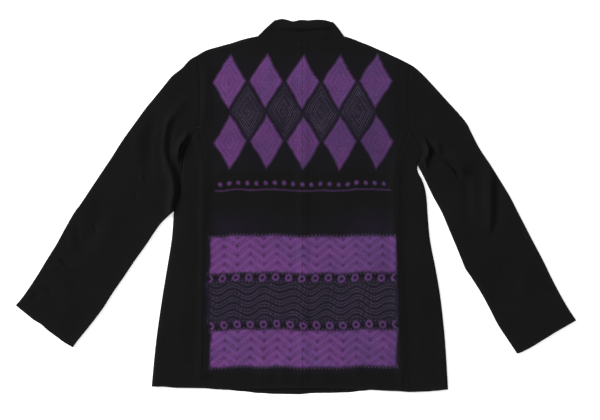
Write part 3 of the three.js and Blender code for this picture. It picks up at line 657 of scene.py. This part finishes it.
def design(x, y):
    """The resist-dyed design: where the dye took, where stitches run, and the small rings."""
    # the lines wander, as stitched by hand
    x1 = x + 1.7 * sine(y * 0.031 + 1.3) + 1.1 * sine(y * 0.087 + 0.4)
    y1 = y + 1.5 * sine(x * 0.027 + 0.7) + 1.0 * sine(x * 0.074 + 2.1)
    # three level bands: the middle one is dark, with light stitching
    middle_y = BAND_Y + BAND_PITCH
    yb = centred(y1 - BAND_Y, BAND_PITCH)
    beyond = most(abs(x1) - DESIGN_HALF, abs(y1 - middle_y) - (BAND_PITCH + BAND_HALF))
    tied = 0.9 * sine(x1 * 0.83) * sine(x1 * 0.31 + 1)
    out = most(abs(yb) - BAND_HALF + tied, beyond)
    band = ramp(out, 3.6, -4.4)
    middle = ramp(abs(y1 - middle_y), BAND_PITCH / 2 + 1, BAND_PITCH / 2 - 1)
    zigzag = yb + abs(centred(x1, ZIGZAG_LONG)) * ZIGZAG_SLOPE
    wave = yb + 6.5 * sine(x1 * 0.0982) + 2.5 * sine(x1 * 0.041 + 1)
    zigzag_stitch, wave_stitch = pair(zigzag, ZIGZAG_PITCH), pair(wave, WAVE_PITCH, 0.9)
    band_stitch = (zigzag_stitch + (wave_stitch - zigzag_stitch) * middle) * band
    # lozenges across the shoulders in three rows, again dark in the middle
    s = x1 / TILE_W + (y1 - TILE_Y) / TILE_H
    t = x1 / TILE_W - (y1 - TILE_Y) / TILE_H
    s0, t0 = floor(s / 2 + 0.5), floor(t / 2 + 0.5)
    row, place = s0 - t0, s0 + t0
    held = ramp(abs(row + 1), 1.5, 1.4) * ramp(abs(place), 4.5, 4.4)
    far = most(abs(s - 2 * s0), abs(t - 2 * t0))
    lozenge = ramp(far, 0.97, 0.76) * held
    dark_row = ramp(abs(row + 1), 0.6, 0.4)
    far_stitch = ramp(abs(abs(centred(far - 0.1, 0.26)) - 0.055), 0.042, 0.012) * lozenge
    # rows of small rings between the bands, and a row of dots under the lozenges
    between = ramp(abs(y1 - middle_y), 74, 72) * ramp(abs(x1), DESIGN_HALF + 1, DESIGN_HALF - 1)
    from_ring = hypot(centred(x1, RING_PITCH), centred(y1 - BAND_Y - BAND_PITCH / 2, BAND_PITCH))
    ring = ramp(abs(from_ring - RING), 3.9, 0.4) * between
    from_dot = hypot(centred(x1, DOT_PITCH), y1 - DOTS_Y)
    dot = ramp(from_dot, 6.6, 1.2) * ramp(abs(x1), DOTS_HALF, DOTS_HALF - 2)
    rule = ramp(abs(y1 - DOTS_Y + RULE_DROP), 3.0, 0.3) * ramp(abs(x1), 184, 176) * 0.42
    halo = most(ramp(out, 17, -9), ramp(far, 1.16, 0.7) * held)
    # a faint stain above the bands, towards their ends, and round the lozenges
    above = most(abs(x1) - 172, abs(y1 - TILE_Y + TILE_H) - 108)
    stain = ramp(beyond, 70, 10) * ramp(y1, 300, 330) * (0.12 + 0.5 * ramp(abs(x1), 40, 130))
    stain = stain * ramp(abs(x1), 204, 164)
    halo = most(halo, most(stain, ramp(above, 36, -24) * 0.2))
    # knots where the zigzags turn, and the stitch holes along the bands' edges
    from_knot = hypot(centred(x1, ZIGZAG_LONG / 2), centred(zigzag, ZIGZAG_PITCH))
    knot = ramp(from_knot, 6.6, 1.0) * (1 - middle) * band
    spaced = ramp(sine(x1 * 0.86), -0.2, 0.6)
    holes = ramp(abs(out - 3.4), 2.4, 0.4) * spaced * ramp(abs(yb), 30, 34)
    return {
        "field": most(band, (0.86 + 0.07 * row) * lozenge),
        "dark": most(middle * ramp(beyond, 8, 4), dark_row * held),
        "halo": halo,
        "stitch": most(band_stitch, far_stitch),
        "knots": most(most(ring, dot), rule),
        "turns": knot,
        "holes": holes,
    }


# ---- Materials ----

BLACK = (0.0038, 0.0037, 0.0039)
PINK_PURPLE = (0.102, 0.0335, 0.136)
BLUE_PURPLE = (0.082, 0.0335, 0.126)
DEEP = (0.027, 0.0125, 0.038)  # stitches on purple
LILAC = (0.050, 0.041, 0.062)  # stitches on the dark places
DUSK = (0.0094, 0.0073, 0.0134)  # ground of the dark places
HALO = (0.0100, 0.0065, 0.0162)
GRAIN = {"left": -38, "right": 31}  # degrees by which each sleeve's threads are turned
THREAD, RIB = 7.4, 5.2  # of the weave, in radians to the millimetre


class Surface:
    """A cloth material: object coordinates in the cutting plan's millimetres, and helpers."""

    def __init__(self, name, turn=0.0):
        self.material = bpy.data.materials.new(name)
        self.material.use_nodes = True
        self.tree = self.material.node_tree
        self.nodes, self.links = self.tree.nodes, self.tree.links
        self.shader = self.nodes["Principled BSDF"]
        place = self.nodes.new("ShaderNodeTexCoord").outputs["Object"]
        mapping = self.nodes.new("ShaderNodeMapping")
        put(mapping, {"Scale": (1 / MM,) * 3, "Location": (-SHIFT[0], -SHIFT[1], 0)})
        self.links.new(place, mapping.inputs["Vector"])
        self.plan = mapping.outputs[0]
        turned = self.nodes.new("ShaderNodeMapping")
        put(turned, {"Rotation": (0, 0, turn)})
        self.links.new(self.plan, turned.inputs["Vector"])
        self.grain = turned.outputs[0]

    def split(self, vector):
        node = self.nodes.new("ShaderNodeSeparateXYZ")
        self.links.new(vector, node.inputs[0])
        return [Value(self.tree, node.outputs[k]) for k in range(3)]

    def noise(self, size, detail=2.0, vector=None, roughness=0.5):
        node = self.nodes.new("ShaderNodeTexNoise")
        put(node, {"Scale": 1 / size, "Detail": detail, "Roughness": roughness})
        self.links.new(vector or self.plan, node.inputs["Vector"])
        return Value(self.tree, node.outputs["Fac"])

    def stretched(self, long, short):
        """Coordinates for streaks of the given length and width that run across the back."""
        node = self.nodes.new("ShaderNodeMapping")
        put(node, {"Scale": (1 / long, 1 / short, 1 / long)})
        self.links.new(self.plan, node.inputs["Vector"])
        return node.outputs[0]

    def mix(self, share, first, second):
        node = self.nodes.new("ShaderNodeMix")
        node.data_type = "RGBA"
        sockets = node.inputs["Factor"], node.inputs[6], node.inputs[7]
        for socket, value in zip(sockets, (share, first, second)):
            if isinstance(value, Value):
                self.links.new(value.socket, socket)
            elif isinstance(value, tuple):
                socket.default_value = (*value, 1)
            else:
                self.links.new(value, socket)
        return node.outputs[2]

    def bump(self, height, distance, strength=1.0, before=None):
        node = self.nodes.new("ShaderNodeBump")
        put(node, {"Strength": strength, "Distance": distance})
        self.links.new(height.socket, node.inputs["Height"])
        if before:
            self.links.new(before, node.inputs["Normal"])
        return node.outputs[0]

    def cloth(self, colour, height=None):
        """Sets the cloth's fine weave, slub and nap over a colour, lightened by folded edges as
        worn nap and painted sheen.
        """
        u, v, _ = self.split(self.grain)
        weave = sine(u * THREAD) * sine(v * THREAD)
        rib = sine((u + v) * RIB)
        slub = self.noise(2.4, 3.0, self.grain)
        patches = self.noise(70, 3.0)
        nap = self.noise(9, 4.0, roughness=0.6)
        wear_and_sheen = self.nodes.new("ShaderNodeAttribute")
        wear_and_sheen.attribute_name = "wear_and_sheen"
        wear_and_sheen = Value(self.tree, wear_and_sheen.outputs["Fac"])
        # lighter by folded edges: partly the nap's wear, partly painted sheen
        tone = (0.66 + 0.42 * patches + 0.22 * nap) * (1 + wear_and_sheen * (0.16 + 0.6 * nap))
        node = self.nodes.new("ShaderNodeVectorMath")
        node.operation = "SCALE"
        if isinstance(colour, tuple):
            node.inputs[0].default_value = colour
        else:
            self.links.new(colour, node.inputs[0])
        self.links.new(tone.socket, node.inputs["Scale"])
        self.links.new(node.outputs[0], self.shader.inputs["Base Color"])
        first = self.bump(weave * 0.5 + rib * 0.35 + slub * 1.2, 0.00016, 0.55)
        second = self.bump(nap * 1.0 + patches * 0.8, 0.0006, 0.5, first)
        if height is not None:
            second = self.bump(height, 0.001, 0.9, second)
        self.links.new(second, self.shader.inputs["Normal"])
        put(self.shader, {"Roughness": 0.86, "Specular IOR Level": 0.06, "Sheen Weight": 0.008,
                          "Sheen Roughness": 0.5})
        return self.material


def black_cloth(name, turn=0.0):
    return Surface(name, turn).cloth(BLACK)


def dyed_cloth(name):
    surface = Surface(name)
    x, y, _ = surface.split(surface.plan)
    # dye creeps unevenly, so the edges wander
    creep, creep2 = surface.noise(13, 3.0) - 0.5, surface.noise(31, 2.0) - 0.5
    feather = surface.noise(3.4, 3.0, roughness=0.7) - 0.5
    m = design(x + creep * 4.5 + feather * 2.6, y + creep2 * 6.0 + feather * 3.4)
    broad = surface.noise(60, 2.0)
    uneven = surface.noise(24, 4.0, roughness=0.6)
    fine = surface.noise(2.8, 3.0, roughness=0.7)
    pleats = surface.noise(1, 3.0, surface.stretched(17, 3.2), roughness=0.6)
    dashes = ramp(sine(x * 1.22 + y * 0.8 + fine * 3), -0.5, 0.5)
    purple = surface.mix(ramp(broad + x * 0.0006, 0.34, 0.66), PINK_PURPLE, BLUE_PURPLE)
    dusk = surface.mix(ramp(uneven, 0.35, 0.7), DUSK, HALO)
    colour = surface.mix(m["halo"] * (0.25 + 0.95 * uneven), BLACK, HALO)
    strength = (0.42 + 0.50 * uneven + 0.26 * fine + 0.36 * pleats) * m["field"]
    strength = strength * ramp(x, 1200, -330) * 1.2  # stronger towards the left
    strong = least(strength, 1.08) * (1 - m["dark"])
    colour = surface.mix(m["dark"] * 0.9, colour, dusk)
    colour = surface.mix(strong, colour, purple)
    dark_stitch = m["stitch"] * (1 - m["dark"]) * (0.22 + 0.78 * dashes) * (0.35 + 0.8 * uneven)
    dark_stitch = most(dark_stitch * 0.9, m["turns"] * (0.2 + 0.9 * uneven))
    colour = surface.mix(least(dark_stitch, 0.82), colour, DEEP)
    light_stitch = m["stitch"] * m["dark"] * (0.25 + 0.75 * dashes) * (0.30 + 0.85 * uneven)
    light_stitch = most(light_stitch, m["holes"] * (0.2 + 0.5 * uneven))
    colour = surface.mix(least(light_stitch, 0.9), colour, LILAC)
    colour = surface.mix(least(m["knots"] * (0.25 + 0.8 * uneven), 0.85), colour, purple)
    pucker = m["stitch"] * (dashes - 0.75) * 0.5 + m["knots"] * 0.4 + pleats * m["field"] * 0.5
    return surface.cloth(colour, pucker)


cloth = {"body": black_cloth("black_cloth_body")}
for side, degrees in GRAIN.items():
    cloth[side] = black_cloth(f"black_cloth_sleeve_{side}", math.radians(degrees))
cloth["dyed"] = dyed_cloth("dyed_cloth_back")

# ---- Back panels ----


def upper_panel(side, grid, seams, seed, dyed=False):
    """An upper panel's middle, half wall and edge wear with painted sheen: the form of the layer
    with
     its seams, hem and stitched puckers."""
    d = edge_distance(grid)
    x, y = grid[..., 0], grid[..., 1]
    fall = np.minimum(from_side_seam(side, x, y), below_shoulder(side, x, y))
    lift = 1
    if dyed:  # the hem comes down onto the front's hem where that peeps out
        by_hem = smooth((PEEP_HIGH - d["bottom"]) / PEEP_HIGH)
        lift = 1 - PEEP_DROP * by_hem * smooth((PEEP_HALF - abs(x - PEEP_X)) / PEEP_FADE)
    z = upper_face(x, y, fall, lift)
    for k, edge in enumerate(seams):
        run = y if edge in ("left", "right") else x
        share = 0.4 if dyed and edge == "top" else 1  # the shoulder is a fold, the neck a lap
        z = z + seam_relief(d[edge], run, seed + 7 * k) * share
    z = z + hem_relief(d["bottom"])
    if dyed:  # knots stand out, stitches draw in, and the cloth round them is uneven
        m = design(x, y)
        z = z + 0.35 * m["knots"] - 0.28 * m["stitch"]
        z = z + 0.55 * m["halo"] * noise(x, y, 19, 11)
    middle = np.dstack([grid, z - HALF_CLOTH])
    return middle, half_wall(*d.values()), edge_wear_and_sheen(np.minimum(fall, d["bottom"]))


for side, sign in SIGN.items():
    e = lines[side]
    shift = np.array([-sign * SEAM_GAP, 0])
    outer = joined(e["side_back"], e["upper"]) + shift
    neck = neck_seam(side, BACK_NECK_DROP)
    top = joined(e["shoulder"], neck) + np.array([0, NECK_LAP])
    inner = np.array([[0, level(HEM_LINE, 0.0)], [0, neck[-1, 1] + NECK_LAP]]) - shift
    grid = panel_grid(side, outer, inner, top, HEM_LINE, *map(shares, BACK_SPAN))
    node = f"back_{side}"
    panel = upper_panel(side, grid, ("left", "right", "top"), PANEL_SEED[node], dyed=True)
    back = shell(f"{node}_cloth", *panel, cloth["dyed"])
    finish(back, node)

    inner = e["side_back"] - shift
    top = e["lower"] + np.array([0, -SEAM_GAP * 1.5])
    grid = panel_grid(side, e["side"], inner, top, HEM_LINE, *map(shares, SIDE_BACK_SPAN))
    node = f"side_back_{side}"
    centre_edge = "right" if side == "left" else "left"
    panel = upper_panel(side, grid, (centre_edge, "top"), PANEL_SEED[node])
    side_back = shell(f"{node}_cloth", *panel, cloth["body"])
    finish(side_back, node)

# ---- Fronts ----

for side, sign in SIGN.items():
    e = lines[side]
    outer = joined(e["side"], e["lower"], e["upper"])
    top = joined(e["shoulder"], neck_seam(side, FRONT_NECK_DROP)) + np.array([0, -SEAM_GAP])
    centre = sign * SEAM_GAP
    inner = np.array([[centre, level(FRONT_HEM_LINE, 0.0)], [centre, top[-1, 1]]])
    v, u = (shares(span, step=FRONT_STEP) for span in FRONT_SPAN)
    grid = panel_grid(side, outer, inner, top, FRONT_HEM_LINE, v, u)
    d = edge_distance(grid)
    half, wear_and_sheen = half_wall(*d.values()), edge_wear_and_sheen(np.minimum(d["bottom"], d[side]))
    middle = np.dstack([grid, np.full(half.shape, HALF_CLOTH)])
    front = shell(f"front_{side}_cloth", middle, half, wear_and_sheen, cloth["body"])
    finish(front, f"front_{side}")

# ---- Sleeves ----


def cuff_line(side):
    """The cuff's edge, from the outer fold to the inner one."""
    (x0, y0), (x1, y1) = OUTER_FOLD[side][-1], INNER_FOLD[side][-1]
    t = np.linspace(0, 1, SEAM_POINTS)
    line = np.stack([x0 + (x1 - x0) * t, y0 + (y1 - y0) * t], axis=1)
    out = np.array([y0 - y1, x1 - x0], float)
    out /= np.linalg.norm(out) * (1 if out[1] < 0 else -1)
    return line + level(CUFF[side], t)[:, None] * out


def sleeve_grid(side, v, u):
    """Grid from the armhole to the cuff, and the point where the sleeve parts from the body."""
    e, sign = lines[side], SIGN[side]
    seam = joined(e["side"], e["lower"], e["upper"])
    seam = seam[seam[:, 1] >= PARTING_Y[side]]
    below = seam[:, 1:] < SIDE[side][-1][1]
    start = np.where(below, aside(seam, -sign * BESIDE), aside(seam, -sign * SEAM_GAP * 2))
    parting = start[0]
    inner = spline([tuple(parting), *INNER_FOLD[side]])
    outer = spline(OUTER_FOLD[side])
    start[-1] = outer[0] + np.array([sign * SEAM_GAP, 0])
    outer[0] = start[-1]
    cuff = cuff_line(side)[::-1]
    inner[-1], outer[-1] = cuff[0], cuff[-1]
    return relaxed(inner, outer, start, cuff, v, u), parting


CENTRE = TOP / 2  # height of a folded edge
FOLD = CENTRE - HALF_CLOTH  # radius of the wall's middle there
v = shares(SLEEVE_SPAN[0], step=SLEEVE_STEP[0], growth=SPREAD)
u = shares(SLEEVE_SPAN[1], NEAR_FOLD, SLEEVE_STEP[1])
# The lower layer takes all columns by the folds, and every other one between them.
count, kept = len(u), len(NEAR_FOLD)
under = [*range(1, kept + 1), *range(kept + 2, count - kept - 2, 2),
         *range(count - kept - 1, count - 1)][::-1]
for side in SIGN:
    grid, parting = sleeve_grid(side, v, u)
    d = edge_distance(grid)
    x, y = grid[..., 0], grid[..., 1]
    d["bottom"] = from_line(grid[0], x, y)
    beside = from_side_seam(side, x, y) + np.maximum(0, parting[1] + ROLL_END - y)
    z = upper_face(x, y, beside)
    z = z + seam_relief(d["bottom"], y, *ARMHOLE_SEAM[side]) + hem_relief(d["top"])
    turn = np.minimum(rounded(d["left"], FOLD), rounded(d["right"], FOLD))
    top_z = CENTRE + (z - HALF_CLOTH - CENTRE) * turn
    bottom_z = CENTRE - FOLD * turn
    inside = np.minimum.reduce([*d.values()])
    top_grid = grid + leaning(x, y) * smooth(inside / LEAN_FROM)[..., None]
    layers = np.dstack([top_grid, top_z]), np.dstack([grid, bottom_z])[:, under]
    middle = np.concatenate(layers, axis=1)
    ends = np.minimum(d["bottom"], d["top"])
    half = half_wall(np.concatenate([ends, ends[:, under]], axis=1))
    wear_and_sheen = edge_wear_and_sheen(np.minimum.reduce([d["left"], d["right"], d["top"]]))
    wear_and_sheen = np.concatenate([wear_and_sheen, wear_and_sheen[:, under]], axis=1)
    if side == "right":
        middle, half, wear_and_sheen = middle[:, ::-1], half[:, ::-1], wear_and_sheen[:, ::-1]
    sleeve = shell(f"sleeve_{side}_cloth", middle, half, wear_and_sheen, cloth[side], loop=True)
    finish(sleeve, f"sleeve_{side}")

# ---- Collar ----

BAND_HIGH = TOP - HALF_CLOTH  # height of the wall's middle in the band's back
FOLD_LIFT = 0.7  # how many thicknesses above the neck seam the band's fold starts
END_ROW = 5  # row along which distances from the band's ends are taken
top_back = spline(COLLAR_TOP)
neck_back = joined(neck_seam("left", BACK_NECK_DROP), neck_seam("right", BACK_NECK_DROP)[::-1])


def collar_columns():
    """Bottom point, top point, height of the wall's middle and outward bulge of each column."""
    t = np.linspace(0, 1, BAND_BACK_COLUMNS)
    back = [along(neck_back, t), along(top_back, t), np.full(len(t), BAND_HIGH), np.zeros(len(t))]
    even = np.linspace(0, COLLAR_FRONT - NEAR[-1], BAND_FRONT_COLUMNS)
    s = np.concatenate([even, COLLAR_FRONT - np.array(NEAR[-2::-1])]) / COLLAR_FRONT
    angle = np.linspace(0, np.pi, BAND_FOLD_COLUMNS)[1:-1]
    parts = []
    for side, end in (("left", 0), ("right", -1)):
        neck = along(neck_seam(side, FRONT_NECK_DROP), s)
        corner, centre_y = top_back[end], neck[-1, 1] + COLLAR_HEIGHT
        arc = np.sin(s * np.pi / 2)
        edge = np.stack([corner[0] * (1 - s), corner[1] + (centre_y - corner[1]) * arc], axis=1)
        up = corner - neck_back[end]
        up = up / np.linalg.norm(up) * CLOTH * FOLD_LIFT
        k = np.ones((len(angle), 1))
        fold = [k * (neck_back[end] + up), k * corner, CENTRE - FOLD * np.cos(angle),
                SIGN[side] * FOLD * np.sin(angle)]
        front = [neck, edge, np.full(len(s), HALF_CLOTH), np.zeros(len(s))]
        if side == "left":
            parts += [[c[::-1] for c in front], fold, back]
        else:
            parts += [[c[::-1] for c in fold], front]
    return [np.concatenate(cs) for cs in zip(*parts)]


bottom, top, height, outward = collar_columns()
r = shares(COLLAR_SPAN, step=COLLAR_STEP)[:, None]
x = bottom[:, 0] * (1 - r) + top[:, 0] * r + outward * np.minimum(1, 2 * r)
y = bottom[:, 1] * (1 - r) + top[:, 1] * r
on_top = (height == BAND_HIGH)[None, :]
from_top = top[:, 1] - y
waves = 0.45 * noise(x, y * 0.4, 15, 6) * smooth(from_top / 8)
relief = creases(x, y, COLLAR_CREASES) + waves
relief = relief + 0.4 * seam_relief(y - bottom[:, 1], x, COLLAR_SEED)
relief = relief + 0.4 * np.exp(-(((from_top - 3) / 2.5) ** 2))  # the band's rolled top edge
z = height + np.where(on_top, np.maximum(relief, LOWEST), 0)
x[:, 0] -= COLLAR_GAP
x[:, -1] += COLLAR_GAP
middle = np.dstack([x, y, z])
row_steps = np.linalg.norm(np.diff(middle, axis=0), axis=-1).mean(axis=1)
from_neck = np.concatenate([[0], np.cumsum(row_steps)])[:, None] + 0 * x
from_edge = from_neck[-1:] - from_neck
run = run_of(middle[END_ROW])[None]
half = half_wall(from_neck, from_edge, run + 0 * x, run[:, -1:] - run + 0 * x)
collar = shell("collar_cloth", middle, half, edge_wear_and_sheen(from_edge), cloth["body"])
finish(collar, "collar")

# ---- Floor, light and camera ----

FLOOR = 8.0  # half the floor's side, in metres
FLOOR_DROP = 0.0004  # below the jacket, which keeps the two faces apart

floor_mesh = bpy.data.meshes.new("floor")
corners = [(a * FLOOR, b * FLOOR, 0) for a, b in ((-1, -1), (1, -1), (1, 1), (-1, 1))]
floor_mesh.from_pydata(corners, [], [(0, 1, 2, 3)])
floor_obj = bpy.data.objects.new("floor", floor_mesh)
floor_obj.location.z = -FLOOR_DROP
bpy.context.scene.collection.objects.link(floor_obj)
paint = bpy.data.materials.new("floor_paint")
paint.use_nodes = True
put(paint.node_tree.nodes["Principled BSDF"], {
    "Base Color": (0.93, 0.93, 0.93, 1),
    "Emission Color": (1, 1, 1, 1),
    "Emission Strength": 0.32,  # the photograph's white ground shows hardly any shadow
    "Roughness": 0.9,
    "Specular IOR Level": 0.1,
})
floor_mesh.materials.append(paint)


def area_light(name, location, side, power):
    """Square light turned towards the jacket."""
    data = bpy.data.lights.new(name, "AREA")
    data.shape, data.size, data.size_y, data.energy = "RECTANGLE", side, side, power
    light = bpy.data.objects.new(name, data)
    light.location = location
    light.rotation_mode = "QUATERNION"
    light.rotation_quaternion = (-Vector(location)).to_track_quat("-Z", "Y")
    bpy.context.scene.collection.objects.link(light)


area_light("key", (-10.4, 4.8, 6.4), 5.2, 2600)
area_light("fill", (1.8, -1.0, 2.6), 2.6, 10)
world = bpy.data.worlds.new("studio")
bpy.context.scene.world = world
world.use_nodes = True
put(world.node_tree.nodes["Background"], {"Color": (1, 1, 1, 1), "Strength": 0.75})
bpy.context.scene.view_settings.view_transform = "Standard"

PIXEL = 2.05  # millimetres of the garment to one pixel of the frame
WIDTH, CENTRE_X, CENTRE_Y = 600, 300, 210  # of the frame, in pixels
PLAN_X, PLAN_Y = 303, 394  # where the cutting plan's origin lies in it
HEIGHT = 3.0  # of the camera, in metres
SENSOR = 36
camera_data = bpy.data.cameras.new("camera")
camera_data.sensor_width = SENSOR
camera_data.lens = SENSOR * HEIGHT / (WIDTH * PIXEL * MM)
camera_data.clip_end = 50
camera = bpy.data.objects.new("camera", camera_data)
camera.location = (((CENTRE_X - PLAN_X) * PIXEL + SHIFT[0]) * MM,
                   ((PLAN_Y - CENTRE_Y) * PIXEL + SHIFT[1]) * MM, HEIGHT)
bpy.context.scene.collection.objects.link(camera)
bpy.context.scene.camera = camera

# ---- Update ----

bpy.context.view_layer.update()
